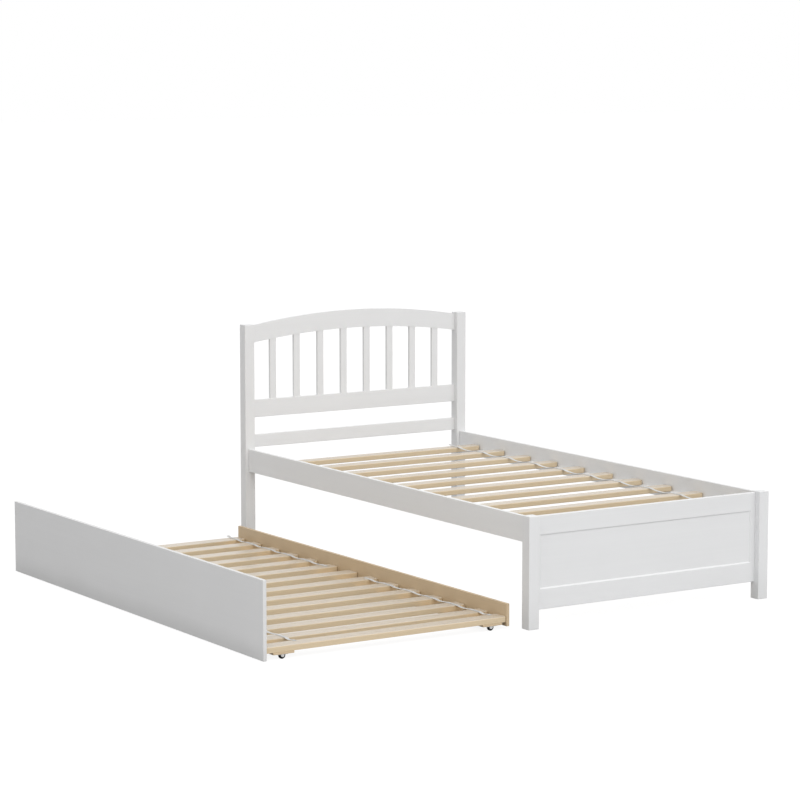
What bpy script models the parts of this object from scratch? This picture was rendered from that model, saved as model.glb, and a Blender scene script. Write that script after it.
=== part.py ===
"""Single bed with a roll-out trundle, built from separate boards.

Metres, +Z up.  The origin is on the floor, under the middle of the whole object
with the trundle rolled out.  The headboard is at -X, the footboard at +X, and the
trundle rolls out towards -Y.  BED_Y is the bed's own centre line.
"""

import math

import bmesh
import bpy
from mathutils import Matrix

# ---------------------------------------------------------------- bed frame
BED_LENGTH = 2.0084            # over the outer faces of the posts
BED_WIDTH = 1.059
POST = 0.0430                  # square section
HEAD_POST_HEIGHT = 0.890
FOOT_POST_HEIGHT = 0.395

HEAD_RAIL_THICK = 0.018
HEAD_RAIL_FRONT = 0.0198       # set back from the inner face of the head posts
TOP_RAIL_APEX = 0.9252         # highest point of the arched rail
TOP_RAIL_TOP_RADIUS = 2.852
TOP_RAIL_LOW_APEX = 0.8515     # underside at the middle
TOP_RAIL_LOW_RADIUS = 3.196
MIDDLE_RAIL_Z = (0.5143, 0.5850)
LOWER_RAIL_Z = (0.3937, 0.4447)
HOUSING = 0.010                # how far a rail goes into its posts

SPINDLES = 8
SPINDLE_PITCH = 0.1110
SPINDLE_WIDTH = 0.0287
SPINDLE_THICK = 0.012
SPINDLE_INSET = 0.0015         # behind the face of the rails
TENON = 0.014                  # how far a spindle goes into its rails

FOOTBOARD_Z = (0.0625, 0.3900)
FOOTBOARD_THICK = 0.0185
FOOTBOARD_SETBACK = 0.0240     # behind the outer face of the foot posts
FIELD_Z = (0.1330, 0.3255)     # sunk field of the footboard, at the face
FIELD_MARGIN = 0.0190          # from the posts to the field
FIELD_DEPTH = 0.0038
FIELD_SLOPE = 0.0055

SIDE_RAIL_Z = (0.2990, 0.3900)
SIDE_RAIL_THICK = 0.0160
SIDE_RAIL_SETBACK = 0.0135     # behind the outer face of the posts
LEDGE_HEIGHT = 0.0240          # strip that the slats rest on
LEDGE_WIDTH = 0.0200

BED_SLATS = 10
BED_SLAT_PITCH = 0.1842
BED_SLAT_WIDTH = 0.0520
BED_SLAT_TOP = 0.3475
BED_SLAT_THICK = 0.0202
BED_SLAT_END_GAP = 0.0035

# ------------------------------------------------------------------ trundle
TRUNDLE_FRONT = 1.5475         # face of the front panel, from the bed's centre line
PANEL_LENGTH = 1.8996
PANEL_THICK = 0.0140
PANEL_Z = (0.0025, 0.2720)
BACK_RAIL_FACE = 0.5666        # outer face of the back rail, from the bed's centre line
BACK_RAIL_THICK = 0.0120
BACK_RAIL_Z = (0.0090, 0.0886)
DECK_LENGTH = 1.8814

TRUNDLE_SLATS = 14
TRUNDLE_SLAT_WIDTH = 0.0600
TRUNDLE_SLAT_TOP = 0.0447
TRUNDLE_SLAT_THICK = 0.0204
TRUNDLE_SLAT_PITCH = 0.1437      # of the twelve between the two end slats
TRUNDLE_SLAT_MIDDLE = 0.0110     # the middle of those twelve
TRUNDLE_SLAT_INSET = 0.0012      # the last slat, from the foot end of the deck
TRUNDLE_SLAT_END_GAP = 0.0005

BEARER_WIDTH = 0.0800
BEARER_Z = (0.0166, 0.0240)
BEARER_Y = (1.4640, 0.6360)    # centres, from the bed's centre line

WHEEL_RADIUS = 0.0120
WHEEL_WIDTH = 0.0100
WHEEL_X = 0.9305
WHEEL_Y = (1.4668, 0.6398)     # from the bed's centre line
AXLE_RADIUS = 0.0015
AXLE_PLAY = 0.0002
BRACKET_WALL = 0.0015

STRAP_WIDTH = 0.0125
STRAP_THICK = 0.0012
BED_STRAP_Y = 0.3900           # either side of the centre line
TRUNDLE_STRAP_Y = (1.3950, 0.6150)
TRUNDLE_TAIL = 0.0180          # loose end past the first slat, short of the head posts

GAP = 0.0003                   # between pieces that touch

BED_Y = (TRUNDLE_FRONT - BED_WIDTH / 2) / 2
HALF_L = BED_LENGTH / 2
HALF_W = BED_WIDTH / 2

# ------------------------------------------------------------------ clearing
for old in list(bpy.data.objects):
    bpy.data.objects.remove(old, do_unlink=True)

PARTS = bpy.data.collections.new("trundle_bed")
CUTTERS = bpy.data.collections.new("cutters")
bpy.context.scene.collection.children.link(PARTS)
bpy.context.scene.collection.children.link(CUTTERS)
CUTTERS.hide_render = True


def material(name, colour, roughness, metallic=0.0):
    made = bpy.data.materials.new(name)
    made.use_nodes = True
    shader = made.node_tree.nodes["Principled BSDF"]
    shader.inputs["Base Color"].default_value = (*colour, 1.0)
    shader.inputs["Roughness"].default_value = roughness
    shader.inputs["Metallic"].default_value = metallic
    made.diffuse_color = (*colour, 1.0)
    return made


WHITE_POST = material("white_paint_post", (0.84, 0.84, 0.83), 0.42)
WHITE_RAIL = material("white_paint_rail", (0.83, 0.83, 0.82), 0.42)
WHITE_SPINDLE = material("white_paint_spindle", (0.84, 0.84, 0.83), 0.40)
WHITE_BOARD = material("white_paint_board", (0.85, 0.85, 0.84), 0.45)
WHITE_PANEL = material("white_paint_panel", (0.82, 0.82, 0.82), 0.45)
PINE_SLAT = material("pine_slat", (0.76, 0.61, 0.42), 0.60)
PINE_DECK = material("pine_deck_slat", (0.74, 0.59, 0.40), 0.60)
PINE_RAIL = material("pine_back_rail", (0.72, 0.56, 0.36), 0.62)
PINE_BEARER = material("pine_bearer", (0.70, 0.54, 0.35), 0.65)
WEBBING = material("grey_webbing", (0.62, 0.63, 0.61), 0.85)
BRACKET_GREY = material("grey_plastic", (0.60, 0.60, 0.60), 0.50)
TYRE_BLACK = material("black_rubber", (0.02, 0.02, 0.02), 0.65)


def body(name, mesh, paint, location=(0, 0, 0), collection=PARTS):
    made = bpy.data.objects.new(name, mesh)
    made.location = location
    if paint is not None:
        mesh.materials.clear()
        mesh.materials.append(paint)
    collection.objects.link(made)
    return made


def block_mesh(name, size):
    """A box of this size about its own centre."""
    mesh = bpy.data.meshes.new(name)
    shape = bmesh.new()
    bmesh.ops.create_cube(shape, size=1.0)
    bmesh.ops.scale(shape, vec=size, verts=shape.verts)
    shape.to_mesh(mesh)
    shape.free()
    return mesh


def soften(made, width, segments=1):
    bevel = made.modifiers.new("eased_edges", "BEVEL")
    bevel.width = width
    bevel.segments = segments
    bevel.limit_method = "ANGLE"
    bevel.angle_limit = math.radians(40)
    return made


def box(name, low, high, paint, edge=0.0015, segments=1, collection=PARTS):
    size = [b - a for a, b in zip(low, high)]
    centre = [(a + b) / 2 for a, b in zip(low, high)]
    made = body(name, block_mesh(name, size), paint, centre, collection)
    return soften(made, edge, segments) if edge else made


def cutter(made):
    made.hide_render = True
    made.display_type = "WIRE"
    return made


def cutter_boxes(name, boxes):
    """One cutter holding several separate boxes, in world coordinates."""
    mesh = bpy.data.meshes.new(name)
    shape = bmesh.new()
    for low, high in boxes:
        new = bmesh.ops.create_cube(shape, size=1.0)["verts"]
        bmesh.ops.scale(shape, vec=[b - a for a, b in zip(low, high)], verts=new)
        bmesh.ops.translate(
            shape, vec=[(a + b) / 2 for a, b in zip(low, high)], verts=new
        )
    shape.to_mesh(mesh)
    shape.free()
    return cutter(body(name, mesh, None, collection=CUTTERS))


def boolean(made, other, operation):
    """Cuts or joins, after the rounding of the edges, so pockets stay sharp."""
    step = made.modifiers.new("joinery", "BOOLEAN")
    step.operation = operation
    step.solver = "EXACT"
    step.object = other
    return step


def baked(made):
    """The object's evaluated mesh becomes its own mesh, and its modifiers go."""
    bpy.context.view_layer.update()
    graph = bpy.context.evaluated_depsgraph_get()
    mesh = bpy.data.meshes.new_from_object(made.evaluated_get(graph))
    mesh.name = made.name
    shape = bmesh.new()
    shape.from_mesh(mesh)
    bmesh.ops.remove_doubles(shape, verts=shape.verts, dist=1e-6)
    bmesh.ops.recalc_face_normals(shape, faces=shape.faces)
    shape.to_mesh(mesh)
    shape.free()
    if made.type == "MESH":
        made.modifiers.clear()
        made.data = mesh
        return made
    new = bpy.data.objects.new(made.name + "_solid", mesh)
    new.matrix_world = made.matrix_world.copy()
    name = made.name
    for collection in list(made.users_collection):
        collection.objects.link(new)
    bpy.data.objects.remove(made, do_unlink=True)
    new.name = name
    return new


def outline(name, points, depth, paint, rotation, location):
    """A flat outline, filled and pulled out to its thickness, as a solid mesh."""
    curve = bpy.data.curves.new(name, "CURVE")
    curve.dimensions = "2D"
    curve.fill_mode = "BOTH"
    curve.extrude = depth / 2
    spline = curve.splines.new("POLY")
    spline.points.add(len(points) - 1)
    for point, (u, v) in zip(spline.points, points):
        point.co = (u, v, 0.0, 1.0)
    spline.use_cyclic_u = True
    curve.materials.append(paint)
    made = bpy.data.objects.new(name, curve)
    made.rotation_euler = rotation
    made.location = location
    PARTS.objects.link(made)
    bpy.context.view_layer.update()
    return baked(made)


ALONG_X = (math.radians(90), 0, math.radians(90))   # outline (u, v) -> (Y, Z), thickness along X
ALONG_Y = (math.radians(90), 0, 0)                  # outline (u, v) -> (X, Z), thickness along Y

# --------------------------------------------------------------- the headboard
SIDES = (("trundle_side", -1), ("wall_side", 1))

head_x = -HALF_L + POST / 2                      # centre of the head posts
foot_x = HALF_L - POST / 2
rail_front_x = -HALF_L + POST - HEAD_RAIL_FRONT  # room-side face of the headboard rails
rail_back_x = rail_front_x - HEAD_RAIL_THICK
post_inner = HALF_W - POST                       # inner side face of a post, from the centre line


def arc_z(apex, radius, y):
    return apex - radius + math.sqrt(radius * radius - y * y)


def housing(low_z, high_z, front_x, back_x, side):
    """The pocket in a post that takes a rail's end, with play all round."""
    inner = BED_Y + side * post_inner
    deep = inner + side * (HOUSING + GAP)
    out = inner - side * 0.01
    return (
        (back_x - GAP, min(deep, out), low_z - GAP),
        (front_x + GAP, max(deep, out), high_z + GAP),
    )


rail_end = post_inner + HOUSING
top_end_z = (
    arc_z(TOP_RAIL_LOW_APEX, TOP_RAIL_LOW_RADIUS, rail_end),
    arc_z(TOP_RAIL_APEX, TOP_RAIL_TOP_RADIUS, post_inner - 0.002),
)
foot_front_x = HALF_L - FOOTBOARD_SETBACK
foot_back_x = foot_front_x - FOOTBOARD_THICK

for label, side in SIDES:
    y = BED_Y + side * (HALF_W - POST / 2)
    post = box(
        f"headboard_post_{label}",
        (head_x - POST / 2, y - POST / 2, 0),
        (head_x + POST / 2, y + POST / 2, HEAD_POST_HEIGHT),
        WHITE_POST,
        edge=0.0020,
        segments=3,
    )
    pockets = [
        housing(low, high, rail_front_x, rail_back_x, side)
        for low, high in (top_end_z, MIDDLE_RAIL_Z, LOWER_RAIL_Z)
    ]
    boolean(post, cutter_boxes(f"cut_head_{label}", pockets), "DIFFERENCE")
    baked(post)

    post = box(
        f"footboard_post_{label}",
        (foot_x - POST / 2, y - POST / 2, 0),
        (foot_x + POST / 2, y + POST / 2, FOOT_POST_HEIGHT),
        WHITE_POST,
        edge=0.0020,
        segments=3,
    )
    pocket = housing(*FOOTBOARD_Z, foot_front_x, foot_back_x, side)
    boolean(post, cutter_boxes(f"cut_foot_{label}", [pocket]), "DIFFERENCE")
    baked(post)

STEPS = 28
ys = [-rail_end + 2 * rail_end * i / STEPS for i in range(STEPS + 1)]
arch = [(y, arc_z(TOP_RAIL_LOW_APEX, TOP_RAIL_LOW_RADIUS, y)) for y in ys]
arch += [
    (y, arc_z(TOP_RAIL_APEX, TOP_RAIL_TOP_RADIUS, y)) for y in reversed(ys)
]
top_rail = outline(
    "headboard_top_rail",
    arch,
    HEAD_RAIL_THICK,
    WHITE_RAIL,
    ALONG_X,
    ((rail_front_x + rail_back_x) / 2, BED_Y, 0),
)
soften(top_rail, 0.0018, 3).modifiers[-1].angle_limit = math.radians(60)
middle_rail = box(
    "headboard_middle_rail",
    (rail_back_x, BED_Y - rail_end, MIDDLE_RAIL_Z[0]),
    (rail_front_x, BED_Y + rail_end, MIDDLE_RAIL_Z[1]),
    WHITE_RAIL,
    edge=0.0018,
    segments=3,
)
box(
    "headboard_lower_rail",
    (rail_back_x, BED_Y - rail_end, LOWER_RAIL_Z[0]),
    (rail_front_x, BED_Y + rail_end, LOWER_RAIL_Z[1]),
    WHITE_RAIL,
    edge=0.0018,
    segments=3,
)

spindle_x = (
    rail_front_x - SPINDLE_INSET - SPINDLE_THICK,
    rail_front_x - SPINDLE_INSET,
)
mortises_low, mortises_high = [], []
for i in range(SPINDLES):
    y = (i - (SPINDLES - 1) / 2) * SPINDLE_PITCH
    foot = MIDDLE_RAIL_Z[1] - TENON
    edge_y = abs(y) + SPINDLE_WIDTH / 2
    head = arc_z(TOP_RAIL_LOW_APEX, TOP_RAIL_LOW_RADIUS, edge_y) + TENON
    low = (spindle_x[0], BED_Y + y - SPINDLE_WIDTH / 2, foot)
    high = (spindle_x[1], BED_Y + y + SPINDLE_WIDTH / 2, head)
    box(f"headboard_spindle_{i + 1}", low, high, WHITE_SPINDLE, edge=0.0015, segments=2)
    play_low = [a - GAP for a in low]
    play_high = [b + GAP for b in high]
    mortises_low.append((play_low, (*play_high[:2], MIDDLE_RAIL_Z[1] + 0.02)))
    mortises_high.append(((*play_low[:2], head - 0.06), play_high))
boolean(middle_rail, cutter_boxes("cut_middle_rail", mortises_low), "DIFFERENCE")
baked(middle_rail)
boolean(top_rail, cutter_boxes("cut_top_rail", mortises_high), "DIFFERENCE")
baked(top_rail)

# --------------------------------------------------------------- the footboard
footboard = box(
    "footboard",
    (foot_back_x, BED_Y - rail_end, FOOTBOARD_Z[0]),
    (foot_front_x, BED_Y + rail_end, FOOTBOARD_Z[1]),
    WHITE_BOARD,
    edge=0.0018,
    segments=3,
)
field_mesh = bpy.data.meshes.new("cut_footboard_field")
field = bmesh.new()
bmesh.ops.create_cube(field, size=1.0)
half_y = post_inner - FIELD_MARGIN
mid_z, half_z = sum(FIELD_Z) / 2, (FIELD_Z[1] - FIELD_Z[0]) / 2
for vert in field.verts:
    outer = vert.co.x > 0
    # The cutter's sides lean outwards and cross the face at the field's edge.
    grow = FIELD_SLOPE if outer else -FIELD_SLOPE
    vert.co.x = FIELD_DEPTH if outer else -FIELD_DEPTH
    vert.co.y = math.copysign(half_y + grow, vert.co.y)
    vert.co.z = math.copysign(half_z + grow, vert.co.z)
field.to_mesh(field_mesh)
field.free()
field_cutter = cutter(
    body(
        "cut_footboard_field",
        field_mesh,
        None,
        (foot_front_x, BED_Y, mid_z),
        CUTTERS,
    )
)
boolean(footboard, field_cutter, "DIFFERENCE")
baked(footboard)

# ------------------------------------------------- the side rails and the slats
rail_outer = HALF_W - SIDE_RAIL_SETBACK
rail_inner = rail_outer - SIDE_RAIL_THICK
ledge_top = BED_SLAT_TOP - BED_SLAT_THICK - GAP
rail_length = BED_LENGTH - 2 * POST - 2 * GAP
for label, side in SIDES:
    section = [
        (rail_outer, SIDE_RAIL_Z[0]),
        (rail_outer, SIDE_RAIL_Z[1]),
        (rail_inner, SIDE_RAIL_Z[1]),
        (rail_inner, ledge_top),
        (rail_inner - LEDGE_WIDTH, ledge_top),
        (rail_inner - LEDGE_WIDTH, ledge_top - LEDGE_HEIGHT),
        (rail_inner, ledge_top - LEDGE_HEIGHT),
        (rail_inner, SIDE_RAIL_Z[0]),
    ]
    made = outline(
        f"side_rail_{label}",
        [(side * u, v) for u, v in section],
        rail_length,
        WHITE_RAIL,
        ALONG_X,
        (0, BED_Y, 0),
    )
    soften(made, 0.0015, 3)

slat_reach = rail_inner - BED_SLAT_END_GAP
for i in range(BED_SLATS):
    x = (i - (BED_SLATS - 1) / 2) * BED_SLAT_PITCH
    box(
        f"bed_slat_{i + 1:02d}",
        (x - BED_SLAT_WIDTH / 2, BED_Y - slat_reach, BED_SLAT_TOP - BED_SLAT_THICK),
        (x + BED_SLAT_WIDTH / 2, BED_Y + slat_reach, BED_SLAT_TOP),
        PINE_SLAT,
        edge=0.0025,
        segments=2,
    )


def strap(name, spans, top, sag, tail, y, enter=0.008, leave=0.006):
    """Webbing laid over the slats, drooping a little between one and the next."""
    path = []
    if tail:
        first = spans[0][0]
        path = [(first - tail, top + 0.004), (first - tail * 0.4, top + 0.0015)]
    for n, (start, end) in enumerate(spans):
        last = n + 1 == len(spans)
        path.append((start + (enter if n == 0 and not tail else -0.0005), top))
        path.append((end + (-leave if last else 0.0005), top))
        if not last:
            begin, gap = end, spans[n + 1][0] - end
            for k in range(1, 5):
                t = k / 5
                path.append((begin + gap * t, top - sag * 4 * t * (1 - t)))
    below = [(x, z + GAP) for x, z in path]
    above = [(x, z + GAP + STRAP_THICK) for x, z in reversed(path)]
    return outline(name, below + above, STRAP_WIDTH, WEBBING, ALONG_Y, (0, y, 0))


bed_spans = [
    (
        (i - (BED_SLATS - 1) / 2) * BED_SLAT_PITCH - BED_SLAT_WIDTH / 2,
        (i - (BED_SLATS - 1) / 2) * BED_SLAT_PITCH + BED_SLAT_WIDTH / 2,
    )
    for i in range(BED_SLATS)
]
for label, side in SIDES:
    strap(
        f"bed_strap_{label}",
        bed_spans,
        BED_SLAT_TOP,
        0.0065,
        0.016,
        BED_Y + side * BED_STRAP_Y,
    )

# ------------------------------------------------------------------ the trundle
panel_y = BED_Y - TRUNDLE_FRONT
box(
    "trundle_front_panel",
    (-PANEL_LENGTH / 2, panel_y, PANEL_Z[0]),
    (PANEL_LENGTH / 2, panel_y + PANEL_THICK, PANEL_Z[1]),
    WHITE_PANEL,
    edge=0.0018,
    segments=3,
)
back_y = BED_Y - BACK_RAIL_FACE
box(
    "trundle_back_rail",
    (-DECK_LENGTH / 2, back_y - BACK_RAIL_THICK, BACK_RAIL_Z[0]),
    (DECK_LENGTH / 2, back_y, BACK_RAIL_Z[1]),
    PINE_RAIL,
    edge=0.0015,
    segments=2,
)

deck_low_y = panel_y + PANEL_THICK + GAP
deck_high_y = back_y - BACK_RAIL_THICK - TRUNDLE_SLAT_END_GAP
trundle_spans = []
for i in range(TRUNDLE_SLATS):
    if i == 0:
        start = -DECK_LENGTH / 2
    elif i < TRUNDLE_SLATS - 1:
        middle = TRUNDLE_SLAT_MIDDLE + (i - (TRUNDLE_SLATS - 1) / 2) * TRUNDLE_SLAT_PITCH
        start = middle - TRUNDLE_SLAT_WIDTH / 2
    else:
        start = DECK_LENGTH / 2 - TRUNDLE_SLAT_INSET - TRUNDLE_SLAT_WIDTH
    trundle_spans.append((start, start + TRUNDLE_SLAT_WIDTH))
for i, (start, end) in enumerate(trundle_spans):
    box(
        f"trundle_slat_{i + 1:02d}",
        (start, deck_low_y, TRUNDLE_SLAT_TOP - TRUNDLE_SLAT_THICK),
        (end, deck_high_y, TRUNDLE_SLAT_TOP),
        PINE_DECK,
        edge=0.0025,
        segments=2,
    )

bracket_x = WHEEL_WIDTH + 2 * 0.001 + 2 * BRACKET_WALL
bracket_y = 2 * (WHEEL_RADIUS + 0.0015 + BRACKET_WALL)
flange_y = bracket_y + 0.010
ENDS = (("head", -1), ("foot", 1))
for place, centre, wheel_y in (
    ("front", BEARER_Y[0], WHEEL_Y[0]),
    ("back", BEARER_Y[1], WHEEL_Y[1]),
):
    y = BED_Y - centre
    bearer = box(
        f"trundle_bearer_{place}",
        (-DECK_LENGTH / 2, y - BEARER_WIDTH / 2, BEARER_Z[0]),
        (DECK_LENGTH / 2, y + BEARER_WIDTH / 2, BEARER_Z[1]),
        PINE_BEARER,
        edge=0.0008,
    )
    slots = []
    for _, end in ENDS:
        cx, cy = end * WHEEL_X, BED_Y - wheel_y
        slots.append(
            (
                (cx - bracket_x / 2 - GAP, cy - bracket_y / 2 - GAP, BEARER_Z[0] - 0.01),
                (cx + bracket_x / 2 + GAP, cy + bracket_y / 2 + GAP, BEARER_Z[1] + 0.01),
            )
        )
    boolean(bearer, cutter_boxes(f"cut_bearer_{place}", slots), "DIFFERENCE")
    baked(bearer)

# The straps tie the slats on either side of the fixed seventh slat.
for place, strap_y in zip(("front", "back"), TRUNDLE_STRAP_Y):
    for group, spans in (("head", trundle_spans[:6]), ("foot", trundle_spans[7:])):
        strap(
            f"trundle_strap_{place}_{group}",
            spans,
            TRUNDLE_SLAT_TOP,
            0.0035,
            TRUNDLE_TAIL if group == "head" else 0.0,
            BED_Y - strap_y,
            enter=0.024,
            leave=0.019 if group == "head" else 0.043,
        )


def rod(name, radius, length, centre, sides=20, collection=CUTTERS):
    """A cylinder lying along X."""
    mesh = bpy.data.meshes.new(name)
    shape = bmesh.new()
    bmesh.ops.create_cone(
        shape,
        cap_ends=True,
        segments=sides,
        radius1=radius,
        radius2=radius,
        depth=length,
    )
    bmesh.ops.rotate(
        shape,
        verts=shape.verts,
        cent=(0, 0, 0),
        matrix=Matrix.Rotation(math.radians(90), 3, "Y"),
    )
    shape.to_mesh(mesh)
    shape.free()
    return cutter(body(name, mesh, None, centre, collection))


def bracket(name, cx, cy):
    """A U-shaped housing let into the bearer, with two ears and a riveted axle."""
    axle = (cx, cy, WHEEL_RADIUS)
    top = BEARER_Z[1] - 0.0001
    made = box(
        name,
        (cx - bracket_x / 2, cy - bracket_y / 2, BEARER_Z[0] - 0.0006),
        (cx + bracket_x / 2, cy + bracket_y / 2, top),
        BRACKET_GREY,
        edge=0,
    )
    flange = cutter_boxes(
        f"join_{name}",
        [
            (
                (cx - bracket_x / 2, cy - flange_y / 2, BEARER_Z[0] - 0.0015),
                (cx + bracket_x / 2, cy + flange_y / 2, BEARER_Z[0] - GAP),
            ),
        ],
    )
    ear = cutter_boxes(
        f"ear_{name}",
        [
            (
                (cx - bracket_x / 2, cy - 0.0055, WHEEL_RADIUS),
                (cx + bracket_x / 2, cy + 0.0055, BEARER_Z[0] + 0.002),
            ),
        ],
    )
    nose = rod(f"nose_{name}", 0.0055, bracket_x, axle)
    space = cutter_boxes(
        f"space_{name}",
        [
            (
                (
                    cx - bracket_x / 2 + BRACKET_WALL,
                    cy - bracket_y / 2 + BRACKET_WALL,
                    -0.02,
                ),
                (
                    cx + bracket_x / 2 - BRACKET_WALL,
                    cy + bracket_y / 2 - BRACKET_WALL,
                    0.05,
                ),
            ),
        ],
    )
    pin = rod(f"pin_{name}", AXLE_RADIUS, bracket_x + 0.0012, axle, 16)
    for other, operation in (
        (flange, "UNION"),
        (ear, "UNION"),
        (nose, "UNION"),
        (space, "DIFFERENCE"),
        (pin, "UNION"),
    ):
        boolean(made, other, operation)
    return baked(made)


def wheel(name, cx, cy):
    """A turned wheel with a rubber tread, its origin on its axle."""
    half = WHEEL_WIDTH / 2
    bore = AXLE_RADIUS + AXLE_PLAY
    round_off = 0.0022
    profile = [(half, bore), (half, 0.0035), (half - 0.0008, 0.0040)]
    profile += [(half - 0.0008, 0.0072), (half - 0.0002, 0.0078)]
    for k in range(4):
        a = math.radians(90 * k / 3)
        profile.append(
            (
                half - 0.0002 - round_off * (1 - math.cos(a)),
                WHEEL_RADIUS - round_off * (1 - math.sin(a)),
            )
        )
    profile += [(-x, r) for x, r in reversed(profile)]
    mesh = bpy.data.meshes.new(name)
    shape = bmesh.new()
    verts = [shape.verts.new((x, 0.0, r)) for x, r in profile]
    for a, b in zip(verts, verts[1:] + verts[:1]):
        shape.edges.new((a, b))
    shape.to_mesh(mesh)
    shape.free()
    made = body(name, mesh, TYRE_BLACK, (cx, cy, WHEEL_RADIUS))
    turn = made.modifiers.new("turned", "SCREW")
    turn.axis = "X"
    turn.angle = math.radians(360)
    turn.steps = turn.render_steps = 28
    turn.use_merge_vertices = True
    turn.merge_threshold = 0.00005
    turn.use_smooth_shade = True
    return made


for place, wheel_y in zip(("front", "back"), WHEEL_Y):
    for group, end in ENDS:
        cx, cy = end * WHEEL_X, BED_Y - wheel_y
        bracket(f"caster_bracket_{place}_{group}", cx, cy)
        wheel(f"caster_wheel_{place}_{group}", cx, cy)
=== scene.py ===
"""Looks of the single bed with its roll-out trundle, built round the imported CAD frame."""

import math
import random

import bmesh
import bpy
import numpy as np
from mathutils import Matrix, Vector


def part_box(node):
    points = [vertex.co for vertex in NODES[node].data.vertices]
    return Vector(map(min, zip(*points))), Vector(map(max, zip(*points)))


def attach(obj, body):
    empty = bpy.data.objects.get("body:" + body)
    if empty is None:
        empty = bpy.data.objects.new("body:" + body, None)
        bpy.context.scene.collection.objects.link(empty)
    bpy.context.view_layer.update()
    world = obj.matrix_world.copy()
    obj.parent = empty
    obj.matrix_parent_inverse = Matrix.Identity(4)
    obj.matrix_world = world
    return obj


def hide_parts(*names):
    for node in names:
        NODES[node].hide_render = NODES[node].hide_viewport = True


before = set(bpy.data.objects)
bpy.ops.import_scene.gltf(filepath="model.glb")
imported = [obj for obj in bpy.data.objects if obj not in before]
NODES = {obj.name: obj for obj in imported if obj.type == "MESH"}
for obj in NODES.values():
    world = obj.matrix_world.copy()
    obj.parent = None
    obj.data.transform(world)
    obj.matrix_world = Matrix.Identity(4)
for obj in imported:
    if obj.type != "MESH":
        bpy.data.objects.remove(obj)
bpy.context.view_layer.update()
SCENE = bpy.context.scene

# ------------------------------------------------------------------ camera
AZIMUTH, PITCH = math.radians(57.390), math.radians(7.161)
camera_data = bpy.data.cameras.new("camera")
camera_data.sensor_width = 36.0
camera_data.lens = 126.11
camera_data.clip_start, camera_data.clip_end = 0.1, 200.0
camera = bpy.data.objects.new("camera", camera_data)
camera.location = (8.7208, -5.4822, 1.9844)
camera.rotation_euler = (math.pi / 2 - PITCH, 0.0, AZIMUTH)
SCENE.collection.objects.link(camera)
SCENE.camera = camera

SCENE.view_settings.view_transform = "Standard"
SCENE.view_settings.look = "None"
SCENE.view_settings.exposure = 0.0
SCENE.view_settings.gamma = 1.0

# ------------------------------------------------------------------ light
WORLD_LIGHT = 0.475
GLOSSY_LIGHT = 1.0
world = bpy.data.worlds.new("studio")
world.use_nodes = True
SCENE.world = world
tree = world.node_tree
tree.nodes.clear()
out = tree.nodes.new("ShaderNodeOutputWorld")
seen = tree.nodes.new("ShaderNodeBackground")
seen.inputs["Color"].default_value = (1, 1, 1, 1)
seen.inputs["Strength"].default_value = 1.0
soft = tree.nodes.new("ShaderNodeBackground")
soft.inputs["Color"].default_value = (1.0, 1.0, 1.0, 1)
soft.inputs["Strength"].default_value = WORLD_LIGHT
pick = tree.nodes.new("ShaderNodeMixShader")
path = tree.nodes.new("ShaderNodeLightPath")
sheen = tree.nodes.new("ShaderNodeBackground")
sheen.inputs["Color"].default_value = (1, 1, 1, 1)
sheen.inputs["Strength"].default_value = GLOSSY_LIGHT
other = tree.nodes.new("ShaderNodeMixShader")
tree.links.new(path.outputs["Is Glossy Ray"], other.inputs["Fac"])
tree.links.new(soft.outputs[0], other.inputs[1])
tree.links.new(sheen.outputs[0], other.inputs[2])
tree.links.new(path.outputs["Is Camera Ray"], pick.inputs["Fac"])
tree.links.new(other.outputs[0], pick.inputs[1])
tree.links.new(seen.outputs[0], pick.inputs[2])
tree.links.new(pick.outputs[0], out.inputs["Surface"])


def sun(name, direction, strength, angle, colour=(1, 1, 1)):
    data = bpy.data.lights.new(name, "SUN")
    data.energy = strength
    data.angle = math.radians(angle)
    data.color = colour
    made = bpy.data.objects.new(name, data)
    made.rotation_euler = Vector(direction).to_track_quat("Z", "Y").to_euler()
    SCENE.collection.objects.link(made)
    return made


# Direction is where the light comes from.
sun("key", (0.80, 0.10, 0.62), 1.17, 80)
sun("top", (0.0, 0.0, 1.0), 0.95, 110)


def lamp(name, place, target, size, watts):
    data = bpy.data.lights.new(name, "AREA")
    data.shape = "DISK"
    data.size = size
    data.energy = watts
    made = bpy.data.objects.new(name, data)
    made.location = place
    made.rotation_euler = (Vector(place) - Vector(target)).to_track_quat("Z", "Y").to_euler()
    made.visible_camera = False
    made.visible_glossy = False
    SCENE.collection.objects.link(made)
    return made


lamp("side", (2.7, -3.6, 2.3), (0.7, -0.2, 0.3), 2.4, 15.0)

# ------------------------------------------------------------------ node helpers


def new_tree(name):
    made = bpy.data.materials.new(name)
    made.use_nodes = True
    nt = made.node_tree
    nt.nodes.clear()
    return made, nt


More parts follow.
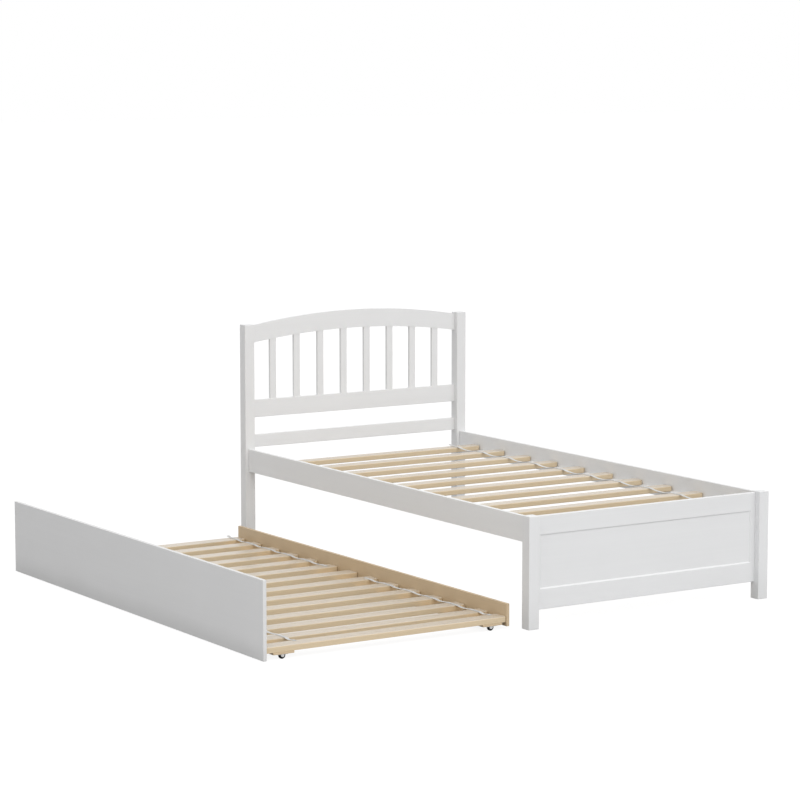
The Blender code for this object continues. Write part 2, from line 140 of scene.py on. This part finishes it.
class Net:
    """Short names for building a node tree."""

    def __init__(self, nt):
        self.nt = nt

    def node(self, kind, **settings):
        made = self.nt.nodes.new("ShaderNode" + kind)
        for key, value in settings.items():
            setattr(made, key, value)
        return made

    def put(self, socket, value):
        if isinstance(value, bpy.types.NodeSocket):
            self.nt.links.new(value, socket)
        elif value is not None:
            socket.default_value = value

    def math(self, operation, a, b=None, c=None, clamp=False):
        made = self.node("Math", operation=operation, use_clamp=clamp)
        for socket, value in zip(made.inputs, (a, b, c)):
            self.put(socket, value)
        return made.outputs[0]

    def vec(self, operation, a, b=None):
        made = self.node("VectorMath", operation=operation)
        self.put(made.inputs[0], a)
        self.put(made.inputs[1], b)
        return made.outputs["Value" if operation in ("LENGTH", "DOT_PRODUCT") else 0]

    def xyz(self, x, y, z):
        made = self.node("CombineXYZ")
        for socket, value in zip(made.inputs, (x, y, z)):
            self.put(socket, value)
        return made.outputs[0]

    def split(self, vector):
        made = self.node("SeparateXYZ")
        self.put(made.inputs[0], vector)
        return made.outputs[0], made.outputs[1], made.outputs[2]

    def noise(self, vector, scale, detail=2.0, rough=0.5, distortion=0.0):
        made = self.node("TexNoise")
        self.put(made.inputs["Vector"], vector)
        made.inputs["Scale"].default_value = scale
        made.inputs["Detail"].default_value = detail
        made.inputs["Roughness"].default_value = rough
        made.inputs["Distortion"].default_value = distortion
        return made.outputs["Fac"]

    def remap(self, value, a, b, c=0.0, d=1.0, smooth=False):
        made = self.node("MapRange")
        made.interpolation_type = "SMOOTHSTEP" if smooth else "LINEAR"
        self.put(made.inputs["Value"], value)
        for name, number in (("From Min", a), ("From Max", b), ("To Min", c), ("To Max", d)):
            self.put(made.inputs[name], number)
        return made.outputs[0]

    def mix(self, share, a, b, blend="MIX"):
        made = self.node("Mix", data_type="RGBA", blend_type=blend)
        self.put(made.inputs["Factor"], share)
        self.put(made.inputs[6], a)
        self.put(made.inputs[7], b)
        return made.outputs[2]

    def ramp(self, value, stops):
        made = self.node("ValToRGB")
        self.put(made.inputs[0], value)
        band = made.color_ramp
        while len(band.elements) > 1:
            band.elements.remove(band.elements[0])
        band.elements[0].position = stops[0][0]
        band.elements[0].color = (*stops[0][1], 1)
        for place, colour in stops[1:]:
            element = band.elements.new(place)
            element.color = (*colour, 1)
        return made.outputs[0]

    def bump(self, height, strength, distance, normal=None):
        made = self.node("Bump")
        made.inputs["Strength"].default_value = strength
        made.inputs["Distance"].default_value = distance
        self.put(made.inputs["Height"], height)
        self.put(made.inputs["Normal"], normal)
        return made.outputs[0]

    def principled(self, colour, roughness, normal=None, specular=0.5, **constants):
        shader = self.node("BsdfPrincipled")
        self.put(shader.inputs["Base Color"], colour)
        self.put(shader.inputs["Roughness"], roughness)
        self.put(shader.inputs["Normal"], normal)
        shader.inputs["Specular IOR Level"].default_value = specular
        for name, value in constants.items():
            shader.inputs[name.replace("_", " ")].default_value = value
        out = self.node("OutputMaterial")
        self.nt.links.new(shader.outputs[0], out.inputs["Surface"])
        return shader


def board_space(net, low, high, along):
    """Two vectors from the piece's own coordinates: the place in the board with X along the grain,
    and the distance to the nearest edge of its box."""
    place = net.node("TexCoord").outputs["Object"]
    x, y, z = net.split(place)
    centre = [(a + b) / 2 for a, b in zip(low, high)]
    half = [(b - a) / 2 for a, b in zip(low, high)]
    local = [
        net.math("SUBTRACT", value, centre[i]) for i, value in enumerate((x, y, z))
    ]
    order = {
        "X": (0, 1, 2),
        "Y": (1, 0, 2),
        "Z": (2, 1, 0),
    }[along]
    turned = net.xyz(*(local[i] for i in order))
    gaps = [
        net.math("SUBTRACT", half[i], net.math("ABSOLUTE", local[i])) for i in range(3)
    ]
    low_pair = net.math("MINIMUM", gaps[0], gaps[1])
    high_pair = net.math("MAXIMUM", gaps[0], gaps[1])
    edge = net.math("MAXIMUM", low_pair, net.math("MINIMUM", high_pair, gaps[2]))
    return turned, edge


def offset(net, vector, seed):
    rng = random.Random(seed)
    return net.vec("ADD", vector, tuple(rng.uniform(-40, 40) for _ in range(3)))


def stretched(net, vector, factors):
    return net.vec("MULTIPLY", vector, factors)


# ------------------------------------------------------------------ materials


def painted(name, low, high, along, seed, tint=(0.832, 0.836, 0.842), rough=0.42, ends=0.0, foot=0.0):
    """Satin white lacquer over planed wood: the grain shows faintly through as relief,
    the sheen varies, and the paint is thinner over the eased edges."""
    made, nt = new_tree(name)
    net = Net(nt)
    board, edge = board_space(net, low, high, along)
    shifted = offset(net, board, seed)
    fibre = net.noise(stretched(net, shifted, (3.0, 160.0, 160.0)), 1.0, 4.0, 0.62)
    streak = net.noise(stretched(net, shifted, (0.9, 26.0, 26.0)), 1.0, 3.0, 0.55, 0.3)
    cloud = net.noise(shifted, 5.0, 2.0, 0.5)
    peel = net.noise(shifted, 420.0, 2.0, 0.5)
    rim = net.remap(edge, 0.0007, 0.0032, 1.0, 0.0, True)
    worn = net.math("MULTIPLY", rim, net.remap(net.noise(shifted, 38.0, 3.0, 0.6), 0.42, 0.66, 0.15, 1.0))
    shade = net.math("MULTIPLY_ADD", net.math("SUBTRACT", streak, 0.5), 0.040, 1.0)
    shade = net.math("MULTIPLY_ADD", net.math("SUBTRACT", cloud, 0.5), 0.030, shade)
    shade = net.math("MULTIPLY_ADD", net.math("SUBTRACT", fibre, 0.5), 0.030, shade)
    scaled = net.node("VectorMath", operation="SCALE")
    scaled.inputs[0].default_value = tint
    net.put(scaled.inputs["Scale"], shade)
    warm = (tint[0] * 0.98, tint[1] * 0.965, tint[2] * 0.935, 1)
    colour = net.mix(net.math("MULTIPLY", worn, 0.55), scaled.outputs[0], warm)
    if ends:
        # painted shadow: a dark line along the ends, where the board meets its neighbours
        reach = (high["XYZ".index(along)] - low["XYZ".index(along)]) / 2
        from_end = net.math("SUBTRACT", reach, net.math("ABSOLUTE", net.split(board)[0]))
        line = net.remap(from_end, ends * 0.4, ends, 1.0, 0.0, True)
        colour = net.mix(net.math("MULTIPLY", line, 0.55), colour, (0.34, 0.34, 0.335, 1))
    if foot:
        # painted shade: the paint is darkened towards the floor, where less light reaches
        place = net.split(net.node("TexCoord").outputs["Object"])[2]
        rise = net.math("SUBTRACT", place, low[2])
        rise = net.math("MULTIPLY_ADD", net.math("SUBTRACT", cloud, 0.5), foot * 0.4, rise)
        floor_shade = net.remap(rise, 0.0, foot, 1.0, 0.0, True)
        colour = net.mix(net.math("MULTIPLY", floor_shade, 0.40 if foot < 0.1 else 0.24), colour, (0.58, 0.58, 0.575, 1))
    gloss = net.math("MULTIPLY_ADD", net.math("SUBTRACT", cloud, 0.5), 0.16, rough)
    gloss = net.math("MULTIPLY_ADD", net.math("SUBTRACT", fibre, 0.5), 0.10, gloss)
    gloss = net.math("MULTIPLY_ADD", worn, -0.05, gloss, clamp=True)
    relief = net.math("MULTIPLY_ADD", fibre, 0.65, net.math("MULTIPLY", streak, 0.8))
    normal = net.bump(relief, 0.35, 0.00035)
    normal = net.bump(peel, 0.16, 0.00008, normal)
    net.principled(colour, gloss, normal, 0.5)
    return made


def pine(name, low, high, along, seed, light=(0.69, 0.555, 0.372), dark=(0.56, 0.415, 0.245), rough=0.32, knots=1.0, pale=0.0, ends=0.28):
    """Bare planed pine.  Growth rings are shells round a pith line beside the board,
    so the faces show long grain and the ends show arcs."""
    made, nt = new_tree(name)
    net = Net(nt)
    rng = random.Random(seed)
    board, edge = board_space(net, low, high, along)
    shifted = offset(net, board, seed)
    x, y, z = net.split(board)
    # wander of the pith along the board, and the pith's place beside it
    drift = net.noise(stretched(net, shifted, (1.1, 0.0, 0.0)), 1.0, 2.0, 0.5)
    drift_b = net.noise(stretched(net, net.vec("ADD", shifted, (7.0, 3.0, 11.0)), (0.8, 0.0, 0.0)), 1.0, 2.0, 0.5)
    pith_y = rng.uniform(-0.030, 0.030)
    pith_z = rng.choice((-1, 1)) * rng.uniform(0.030, 0.070)
    py = net.math("MULTIPLY_ADD", net.math("SUBTRACT", drift, 0.5), 0.050, net.math("SUBTRACT", y, pith_y))
    pz = net.math("MULTIPLY_ADD", net.math("SUBTRACT", drift_b, 0.5), 0.040, net.math("SUBTRACT", z, pith_z))
    wobble = net.noise(stretched(net, shifted, (2.2, 9.0, 9.0)), 1.0, 3.0, 0.5)
    # knots: cells long in the grain direction
    cell = net.node("TexVoronoi", feature="F1")
    net.put(cell.inputs["Vector"], stretched(net, shifted, (2.1, 9.0, 4.0)))
    cell.inputs["Scale"].default_value = 1.0
    cell.inputs["Randomness"].default_value = 1.0
    near = cell.outputs["Distance"]
    pick = net.node("SeparateColor")
    net.put(pick.inputs[0], cell.outputs["Color"])
    chosen = net.math("GREATER_THAN", pick.outputs[0], 1.0 - 0.20 * knots)
    knot = net.math("MULTIPLY", chosen, net.remap(near, 0.045, 0.085, 1.0, 0.0, True))
    halo = net.math("MULTIPLY", chosen, net.remap(near, 0.05, 0.33, 1.0, 0.0, True))
    radius = net.math("SQRT", net.math("ADD", net.math("MULTIPLY", py, py), net.math("MULTIPLY", pz, pz)))
    radius = net.math("MULTIPLY_ADD", net.math("SUBTRACT", wobble, 0.5), 0.0075, radius)
    radius = net.math("MULTIPLY_ADD", halo, 0.0060, radius)
    spacing = rng.uniform(0.0026, 0.0040)
    turn = net.math("FRACT", net.math("DIVIDE", radius, spacing))
    late = net.math("MULTIPLY", net.remap(turn, 0.35, 0.90, 0.0, 1.0, True), net.remap(turn, 0.93, 1.0, 1.0, 0.0, True))
    year = net.noise(net.xyz(net.math("FLOOR", net.math("DIVIDE", radius, spacing)), 0.0, 0.0), 3.1, 0.0)
    late = net.math("MULTIPLY", late, net.remap(year, 0.3, 0.7, 0.35, 1.0))
    fibre = net.noise(stretched(net, shifted, (7.0, 420.0, 420.0)), 1.0, 4.0, 0.65)
    coarse = net.noise(stretched(net, shifted, (1.6, 34.0, 34.0)), 1.0, 3.0, 0.55)
    pores = net.noise(stretched(net, shifted, (28.0, 900.0, 900.0)), 1.0, 2.0, 0.5)
    lift = rng.uniform(-0.05, 0.05)
    share = net.math("MULTIPLY_ADD", late, 0.50, net.math("MULTIPLY_ADD", coarse, 0.36, -0.08 + lift))
    share = net.math("MULTIPLY_ADD", net.math("SUBTRACT", fibre, 0.5), 0.22, share, clamp=True)
    tone = net.ramp(share, [
        (0.0, tuple(min(1.0, c * 1.06) for c in light)),
        (0.35, light),
        (0.75, tuple((a + b) / 2 for a, b in zip(light, dark))),
        (1.0, dark),
    ])
    tone = net.mix(net.math("MULTIPLY", halo, 0.35), tone, (*[c * 0.86 for c in dark], 1))
    tone = net.mix(net.math("MULTIPLY", knot, 0.85), tone, (0.26, 0.15, 0.07, 1))
    # the end grain is darker, and drinks light
    end = net.node("NewGeometry").outputs["Normal"]
    spin = net.node("VectorTransform", vector_type="NORMAL", convert_from="WORLD", convert_to="OBJECT")
    net.put(spin.inputs[0], end)
    axis = {"X": 0, "Y": 1, "Z": 2}[along]
    across = net.math("ABSOLUTE", net.split(spin.outputs[0])[axis])
    cut = net.remap(across, 0.75, 0.95, 0.0, 1.0, True)
    tone = net.mix(net.math("MULTIPLY", cut, ends), tone, (*[c * 0.92 for c in dark], 1))
    rim = net.remap(edge, 0.0006, 0.0030, 1.0, 0.0, True)
    rub = net.math("MULTIPLY", rim, net.remap(net.noise(shifted, 30.0, 3.0, 0.6), 0.40, 0.70, 0.2, 1.0))
    tone = net.mix(net.math("MULTIPLY", rub, 0.10), tone, (*[min(1, c * 0.98) for c in light], 1))
    if pale:
        # painted reflection: upward faces are tinted paler and greyer, standing in for the white sheen off the tops
        up = net.remap(net.split(spin.outputs[0])[2], 0.30, 0.85, 0.0, 1.0, True)
        sheen_patches = net.remap(net.noise(stretched(net, shifted, (4.0, 22.0, 22.0)), 1.0, 3.0, 0.6), 0.25, 0.75, 0.86, 1.0)
        tone = net.mix(net.math("MULTIPLY", net.math("MULTIPLY", up, sheen_patches), pale), tone, (0.54, 0.50, 0.455, 1))
    gloss = net.math("MULTIPLY_ADD", net.math("SUBTRACT", fibre, 0.5), 0.16, rough)
    gloss = net.math("MULTIPLY_ADD", late, -0.06, gloss)
    gloss = net.math("MULTIPLY_ADD", cut, 0.22, gloss, clamp=True)
    relief = net.math("MULTIPLY_ADD", late, 0.5, net.math("MULTIPLY_ADD", fibre, 0.5, net.math("MULTIPLY", pores, 0.5)))
    relief = net.math("MULTIPLY_ADD", knot, -0.6, relief)
    normal = net.bump(relief, 0.45, 0.00030)
    net.principled(tone, gloss, normal, 0.7)
    return made


def webbing(name, along="X"):
    """Plain-woven polypropylene tape: flat warp ribs along its length and weft picks across."""
    made, nt = new_tree(name)
    net = Net(nt)
    place = net.node("TexCoord").outputs["Object"]
    x, y, z = net.split(place)
    warp = net.math("SINE", net.math("MULTIPLY", y, 2 * math.pi / 0.00125))
    weft = net.math("SINE", net.math("MULTIPLY", x, 2 * math.pi / 0.0021))
    over = net.math("MULTIPLY", warp, weft)
    shifted = net.vec("ADD", place, (3.1, 8.2, 0.4))
    fuzz = net.noise(stretched(net, shifted, (900.0, 2600.0, 900.0)), 1.0, 2.0, 0.6)
    blotch = net.noise(shifted, 45.0, 3.0, 0.6)
    share = net.math("MULTIPLY_ADD", over, 0.22, net.math("MULTIPLY_ADD", fuzz, 0.35, net.math("MULTIPLY", blotch, 0.35)), clamp=True)
    tone = net.ramp(share, [(0.05, (0.52, 0.52, 0.515)), (0.45, (0.72, 0.72, 0.715)), (0.95, (0.84, 0.84, 0.83))])
    relief = net.math("MULTIPLY_ADD", over, 0.5, net.math("MULTIPLY_ADD", net.math("ABSOLUTE", warp), 0.5, net.math("MULTIPLY", fuzz, 0.4)))
    normal = net.bump(relief, 0.6, 0.00025)
    rough = net.math("MULTIPLY_ADD", net.math("SUBTRACT", fuzz, 0.5), 0.2, 0.72, clamp=True)
    net.principled(tone, rough, normal, 0.35, Sheen_Weight=0.15, Sheen_Roughness=0.5)
    return made


def plastic(name, base, rough=0.5, seed=1):
    """Moulded plastic: spark-eroded texture and a little handling dirt."""
    made, nt = new_tree(name)
    net = Net(nt)
    place = net.node("TexCoord").outputs["Object"]
    shifted = offset(net, place, seed)
    fine = net.noise(shifted, 1800.0, 2.0, 0.5)
    cloud = net.noise(shifted, 120.0, 3.0, 0.6)
    dark = tuple(c * 0.86 for c in base)
    tone = net.mix(net.remap(cloud, 0.35, 0.7, 0.0, 1.0, True), (*base, 1), (*dark, 1))
    gloss = net.math("MULTIPLY_ADD", net.math("SUBTRACT", cloud, 0.5), 0.25, rough, clamp=True)
    normal = net.bump(fine, 0.3, 0.00006)
    net.principled(tone, gloss, normal, 0.45)
    return made


def rubber(name):
    """Tread rubber: nearly black, matte, with floor dust in it."""
    made, nt = new_tree(name)
    net = Net(nt)
    place = net.node("TexCoord").outputs["Object"]
    shifted = offset(net, place, 77)
    fine = net.noise(shifted, 1500.0, 3.0, 0.6)
    dust = net.remap(net.noise(shifted, 160.0, 4.0, 0.65), 0.50, 0.75, 0.0, 1.0, True)
    tone = net.mix(net.math("MULTIPLY", dust, 0.25), (0.006, 0.006, 0.006, 1), (0.035, 0.034, 0.032, 1))
    gloss = net.math("MULTIPLY_ADD", dust, 0.25, 0.60, clamp=True)
    normal = net.bump(fine, 0.35, 0.00008)
    net.principled(tone, gloss, normal, 0.12)
    return made


def steel(name, seed=5):
    """Zinc-plated wire and pins, brushed a little by use."""
    made, nt = new_tree(name)
    net = Net(nt)
    place = net.node("TexCoord").outputs["Object"]
    shifted = offset(net, place, seed)
    scratch = net.noise(stretched(net, shifted, (2400.0, 300.0, 300.0)), 1.0, 3.0, 0.6)
    cloud = net.noise(shifted, 260.0, 3.0, 0.6)
    tone = net.mix(cloud, (0.50, 0.50, 0.51, 1), (0.66, 0.66, 0.65, 1))
    gloss = net.math("MULTIPLY_ADD", net.math("SUBTRACT", scratch, 0.5), 0.25, 0.34, clamp=True)
    normal = net.bump(scratch, 0.2, 0.00005)
    net.principled(tone, gloss, normal, 0.5, Metallic=1.0)
    return made


WEBBING = webbing("woven_webbing")
BRACKET = plastic("bracket_nylon", (0.78, 0.78, 0.77), 0.45, 3)
HUB = plastic("hub_plastic", (0.80, 0.80, 0.79), 0.40, 9)
RUBBER = rubber("tread_rubber")
STEEL = steel("zinc_steel")

# ------------------------------------------------------------------ mesh helpers


def smooth_by_angle(obj, degrees=32.0, weld=True):
    """Shades a piece smooth except over sharp edges, without touching its own mesh."""
    key = f"shade_{int(degrees)}_{int(weld)}"
    group = bpy.data.node_groups.get(key)
    if group is None:
        group = bpy.data.node_groups.new(key, "GeometryNodeTree")
        group.interface.new_socket("Geometry", in_out="INPUT", socket_type="NodeSocketGeometry")
        group.interface.new_socket("Geometry", in_out="OUTPUT", socket_type="NodeSocketGeometry")
        start = group.nodes.new("NodeGroupInput")
        end = group.nodes.new("NodeGroupOutput")
        flow = start.outputs[0]
        if weld:
            merge = group.nodes.new("GeometryNodeMergeByDistance")
            merge.inputs["Distance"].default_value = 0.000004
            group.links.new(flow, merge.inputs["Geometry"])
            flow = merge.outputs[0]
        plain = group.nodes.new("GeometryNodeRemoveAttribute")
        plain.inputs["Name"].default_value = "custom_normal"
        group.links.new(flow, plain.inputs["Geometry"])
        flow = plain.outputs[0]
        faces = group.nodes.new("GeometryNodeSetShadeSmooth")
        faces.domain = "FACE"
        faces.inputs["Shade Smooth"].default_value = True
        group.links.new(flow, faces.inputs["Geometry"])
        angle = group.nodes.new("GeometryNodeInputMeshEdgeAngle")
        less = group.nodes.new("FunctionNodeCompare")
        less.data_type = "FLOAT"
        less.operation = "LESS_EQUAL"
        less.inputs[1].default_value = math.radians(degrees)
        group.links.new(angle.outputs[0], less.inputs[0])
        edges = group.nodes.new("GeometryNodeSetShadeSmooth")
        edges.domain = "EDGE"
        group.links.new(faces.outputs[0], edges.inputs["Geometry"])
        group.links.new(less.outputs[0], edges.inputs["Shade Smooth"])
        group.links.new(edges.outputs[0], end.inputs[0])
    mod = obj.modifiers.new("shade", "NODES")
    mod.node_group = group
    level = obj.modifiers.new("level", "WEIGHTED_NORMAL")
    level.keep_sharp = True
    level.weight = 80
    return obj


def dress(name, paint):
    """Gives a CAD node its material and its shading."""
    obj = NODES[name]
    for slot in obj.material_slots:
        slot.link = "OBJECT"
        slot.material = paint
    smooth_by_angle(obj)
    return obj


def piece(name, mesh, paint, body, replaces=(), smooth=True):
    obj = bpy.data.objects.new(name, mesh)
    mesh.materials.clear()
    mesh.materials.append(paint)
    SCENE.collection.objects.link(obj)
    if smooth:
        mesh.shade_smooth()
        level = obj.modifiers.new("level", "WEIGHTED_NORMAL")
        level.keep_sharp = True
        level.weight = 80
    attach(obj, body)
    if replaces:
        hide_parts(*replaces)
    return obj


def finish_mesh(name, shape):
    bmesh.ops.recalc_face_normals(shape, faces=shape.faces)
    mesh = bpy.data.meshes.new(name)
    shape.to_mesh(mesh)
    shape.free()
    return mesh


def slat_mesh(name, low, high, corner, ease, under):
    """A slat: its ends are rounded in plan, its top edges eased and its lower ones just broken."""
    shape = bmesh.new()
    bmesh.ops.create_cube(shape, size=1.0)
    size = [b - a for a, b in zip(low, high)]
    centre = [(a + b) / 2 for a, b in zip(low, high)]
    bmesh.ops.scale(shape, vec=size, verts=shape.verts)
    upright = [
        e for e in shape.edges
        if abs(e.verts[0].co.z - e.verts[1].co.z) > size[2] * 0.5
    ]
    bmesh.ops.bevel(
        shape, geom=upright, offset=corner, segments=6, profile=0.5, affect="EDGES",
        clamp_overlap=True,
    )
    for level, amount, steps in ((size[2] / 2, ease, 5), (-size[2] / 2, under, 2)):
        shape.normal_update()
        rim = [
            e for e in shape.edges
            if abs(e.verts[0].co.z - level) < 1e-6
            and abs(e.verts[1].co.z - level) < 1e-6
            and len(e.link_faces) == 2
            and abs(e.link_faces[0].normal.z - e.link_faces[1].normal.z) > 0.5
        ]
        bmesh.ops.bevel(
            shape, geom=rim, offset=amount, segments=steps, profile=0.5, affect="EDGES",
            clamp_overlap=True,
        )
    bmesh.ops.translate(shape, vec=centre, verts=shape.verts)
    return finish_mesh(name, shape)


# ------------------------------------------------------------------ painted boards
LONG = {
    "headboard_post": "Z", "footboard_post": "Z", "headboard_spindle": "Z",
    "headboard_top": "Y", "headboard_middle": "Y", "headboard_lower": "Y",
    "side_rail": "X", "trundle_front_panel": "X",
}
seed = 11
for node in sorted(NODES):
    for start, along in LONG.items():
        if node.startswith(start):
            low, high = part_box(node)
            seed += 1
            if node == "trundle_front_panel":
                # painted shade: the panel's white is set darker than the rails' to match its shading, and darkens
                # towards the floor
                paint = painted("paint_" + node, low, high, along, seed, tint=(0.762, 0.762, 0.764), foot=0.075)
            elif node.startswith("side_rail") and (low[1] + high[1]) / 2 > 0:
                # painted light: the far rail gets a lighter white than the near one, to lift its shaded inner face;
                # painted shadow at its ends
                paint = painted("paint_" + node, low, high, along, seed, tint=(0.862, 0.866, 0.870), ends=0.0028)
            elif "rail" in node:
                # painted shadow at the rail ends
                paint = painted("paint_" + node, low, high, along, seed, ends=0.0028)
            elif "post" in node:
                # painted shade towards the floor
                paint = painted("paint_" + node, low, high, along, seed, foot=0.16)
            else:
                paint = painted("paint_" + node, low, high, along, seed)
            dress(node, paint)

low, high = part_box("footboard")
dress("footboard", painted("paint_footboard", low, high, "Y", 5))

# ------------------------------------------------------------------ pine
for node in ("trundle_back_rail", "trundle_bearer_front", "trundle_bearer_back"):
    low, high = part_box(node)
    seed += 1
    dress(node, pine("pine_" + node, low, high, "X", seed, light=(0.625, 0.485, 0.315), dark=(0.49, 0.355, 0.205), rough=0.46, knots=0.6, ends=0.0))

for count, start, corner, ease, under in (
    (10, "bed_slat", 0.0150, 0.0046, 0.0028), (14, "trundle_slat", 0.0060, 0.0036, 0.0008),
):
    for i in range(1, count + 1):
        node = f"{start}_{i:02d}"
        low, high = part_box(node)
        seed += 1
        paint = pine("pine_" + node, low, high, "Y", seed, pale=0.62)
        if start == "bed_slat":
            # cut to drop in between the side rails with a shaving to spare
            low, high = (low[0], low[1] - 0.0026, low[2]), (high[0], high[1] + 0.0026, high[2])
        mesh = slat_mesh(node + "_board", low, high, corner, ease, under)
        body = "bed_frame" if start == "bed_slat" else "trundle"
        piece(node + "_board", mesh, paint, body, (node,))

# ------------------------------------------------------------------ straps
STRAP_THICK, LIFT = 0.0012, 0.0003


def ribbon(name, path, y, width):
    """A flat tape with rolled selvedges, following a path in the XZ plane."""
    half, thick = width / 2, STRAP_THICK
    ring = [
        (-half + 0.0006, 0.0), (half - 0.0006, 0.0), (half - 0.0001, thick * 0.25),
        (half, thick * 0.55), (half - 0.0003, thick * 0.95), (half - 0.0010, thick),
        (half - 0.0016, thick * 0.86), (0.0, thick * 0.84), (-half + 0.0016, thick * 0.86),
        (-half + 0.0010, thick), (-half + 0.0003, thick * 0.95), (-half, thick * 0.55),
        (-half + 0.0001, thick * 0.25),
    ]
    shape = bmesh.new()
    rows = []
    for x, z in path:
        rows.append([shape.verts.new((x, y + dy, z + dz)) for dy, dz in ring])
    for first, second in zip(rows, rows[1:]):
        for k in range(len(ring)):
            m = (k + 1) % len(ring)
            shape.faces.new((first[k], first[m], second[m], second[k]))
    shape.faces.new(rows[0])
    shape.faces.new(list(reversed(rows[-1])))
    return finish_mesh(name, shape)


def staples(name, places):
    """Flat-wire staple crowns pressed across the tape."""
    shape = bmesh.new()
    for x, y, z in places:
        made = bmesh.ops.create_cube(shape, size=1.0)["verts"]
        bmesh.ops.scale(shape, vec=(0.0012, 0.0104, 0.0005), verts=made)
        bmesh.ops.translate(shape, vec=(x, y, z + 0.0002), verts=made)
        edges = list({e for v in made for e in v.link_edges})
        bmesh.ops.bevel(shape, geom=edges, offset=0.00015, segments=2, profile=0.5, affect="EDGES")
    return finish_mesh(name, shape)


def strap_path(spans, top, sag, tail, enter, leave):
    floor_z = top + LIFT
    points = []
    if tail:
        begin = spans[0][0]
        for t in (1.0, 0.8, 0.6, 0.4, 0.2):
            points.append((begin - tail * t, floor_z + 0.004 * t ** 1.6))
    for n, (start, end) in enumerate(spans):
        last = n + 1 == len(spans)
        first_x = start + (enter if n == 0 and not tail else 0.0)
        last_x = end - (leave if last else 0.0)
        steps = max(2, int((last_x - first_x) / 0.012))
        points += [(first_x + (last_x - first_x) * k / steps, floor_z) for k in range(steps + 1)]
        if not last:
            gap = spans[n + 1][0] - end
            for k in range(1, 16):
                t = k / 16
                points.append((end + gap * t, floor_z - sag * (1 - (2 * t - 1) ** 2) ** 1.15))
    return points


STRAPS = [
    (f"bed_strap_{side}", "bed_slat", range(1, 11), 0.0062, 0.016, 0.0, 0.006)
    for side in ("trundle_side", "wall_side")
] + [
    (f"trundle_strap_{place}_{group}", "trundle_slat", numbers, 0.0034, tail, enter, leave)
    for place in ("front", "back")
    for group, numbers, tail, enter, leave in (
        ("head", range(1, 7), 0.018, 0.0, 0.019), ("foot", range(8, 15), 0.0, 0.024, 0.043),
    )
]
for node, start, numbers, sag, tail, enter, leave in STRAPS:
    low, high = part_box(node)
    boxes = [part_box(f"{start}_{i:02d}") for i in numbers]
    spans = [(a[0], b[0]) for a, b in boxes]
    top = boxes[0][1][2]
    y, width = (low[1] + high[1]) / 2, high[1] - low[1]
    path_points = strap_path(spans, top, sag, tail, enter, leave)
    body = "bed_frame" if start == "bed_slat" else "trundle"
    piece(node + "_tape", ribbon(node + "_tape", path_points, y, width), WEBBING, body, (node,))
    places = []
    for n, (a, b) in enumerate(spans):
        middle = (a + b) / 2
        if n == 0 and enter:
            middle = a + enter + 0.008
        if n + 1 == len(spans) and leave > 0.01:
            middle = b - leave - 0.007
        places.append((middle, y, top + LIFT + STRAP_THICK * 0.84))
    piece(node + "_staples", staples(node + "_staples", places), STEEL, body)

# ------------------------------------------------------------------ casters
WHEEL_NODES = sorted(n for n in NODES if n.startswith("caster_wheel"))


def turned(name, profile, centre, steps=72):
    """Spins a closed profile of (x, radius) pairs round the axle."""
    shape = bmesh.new()
    rings = []
    for k in range(steps):
        a = 2 * math.pi * k / steps
        rings.append([
            shape.verts.new((centre[0] + x, centre[1] + r * math.cos(a), centre[2] + r * math.sin(a)))
            for x, r in profile
        ])
    for k in range(steps):
        one, two = rings[k], rings[(k + 1) % steps]
        for j in range(len(profile)):
            m = (j + 1) % len(profile)
            shape.faces.new((one[j], one[m], two[m], two[j]))
    return finish_mesh(name, shape)


for node in sorted(NODES):
    if node.startswith("caster_bracket"):
        dress(node, BRACKET)
for node in WHEEL_NODES:
    low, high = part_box(node)
    centre = [(a + b) / 2 for a, b in zip(low, high)]
    radius, half = (high[2] - low[2]) / 2, (high[0] - low[0]) / 2
    place = node[len("caster_wheel_"):]
    seat = radius * 0.53
    tread = [(half - 0.0009, seat), (half - 0.0003, seat + 0.0006)]
    for k in range(7):
        a = math.pi / 2 * k / 6
        tread.append((half - 0.0002 - 0.0024 * (1 - math.cos(a)), radius - 0.0024 * (1 - math.sin(a))))
    tread += [(0.0009, radius), (0.0006, radius - 0.0004)]
    tread += [(-x, r) for x, r in reversed(tread)]
    tyre = piece(node + "_tyre", turned(node + "_tyre", tread, centre), RUBBER, "wheel_" + place, (node,))
    core = [
        (half - 0.0001, 0.0018), (half - 0.0001, 0.0029), (half - 0.0013, 0.0033),
        (half - 0.0013, seat - 0.0012), (half - 0.0006, seat - 0.0009), (half - 0.0006, seat - 0.0001),
    ]
    core += [(-x, r) for x, r in reversed(core)]
    piece(node + "_hub", turned(node + "_hub", core, centre), HUB, "wheel_" + place)

# ------------------------------------------------------------------ floor
floor_mesh = bpy.data.meshes.new("floor")
shape = bmesh.new()
bmesh.ops.create_grid(shape, x_segments=1, y_segments=1, size=60.0)
shape.to_mesh(floor_mesh)
shape.free()
floor = bpy.data.objects.new("floor", floor_mesh)
floor.location = (0, 0, -0.0004)
SCENE.collection.objects.link(floor)
paint, nt = new_tree("floor_white")
net = Net(nt)
diffuse = net.node("BsdfDiffuse")
diffuse.inputs["Color"].default_value = (0.52, 0.52, 0.52, 1)
pale = net.node("BsdfDiffuse")
pale.inputs["Color"].default_value = (0.16, 0.16, 0.16, 1)
glow = net.node("Emission")
glow.inputs["Strength"].default_value = 0.905
both = net.node("AddShader")
nt.links.new(pale.outputs[0], both.inputs[0])
nt.links.new(glow.outputs[0], both.inputs[1])
choose = net.node("MixShader")
nt.links.new(net.node("LightPath").outputs["Is Camera Ray"], choose.inputs["Fac"])
nt.links.new(diffuse.outputs[0], choose.inputs[1])
nt.links.new(both.outputs[0], choose.inputs[2])
nt.links.new(choose.outputs[0], net.node("OutputMaterial").inputs["Surface"])
floor_mesh.materials.append(paint)
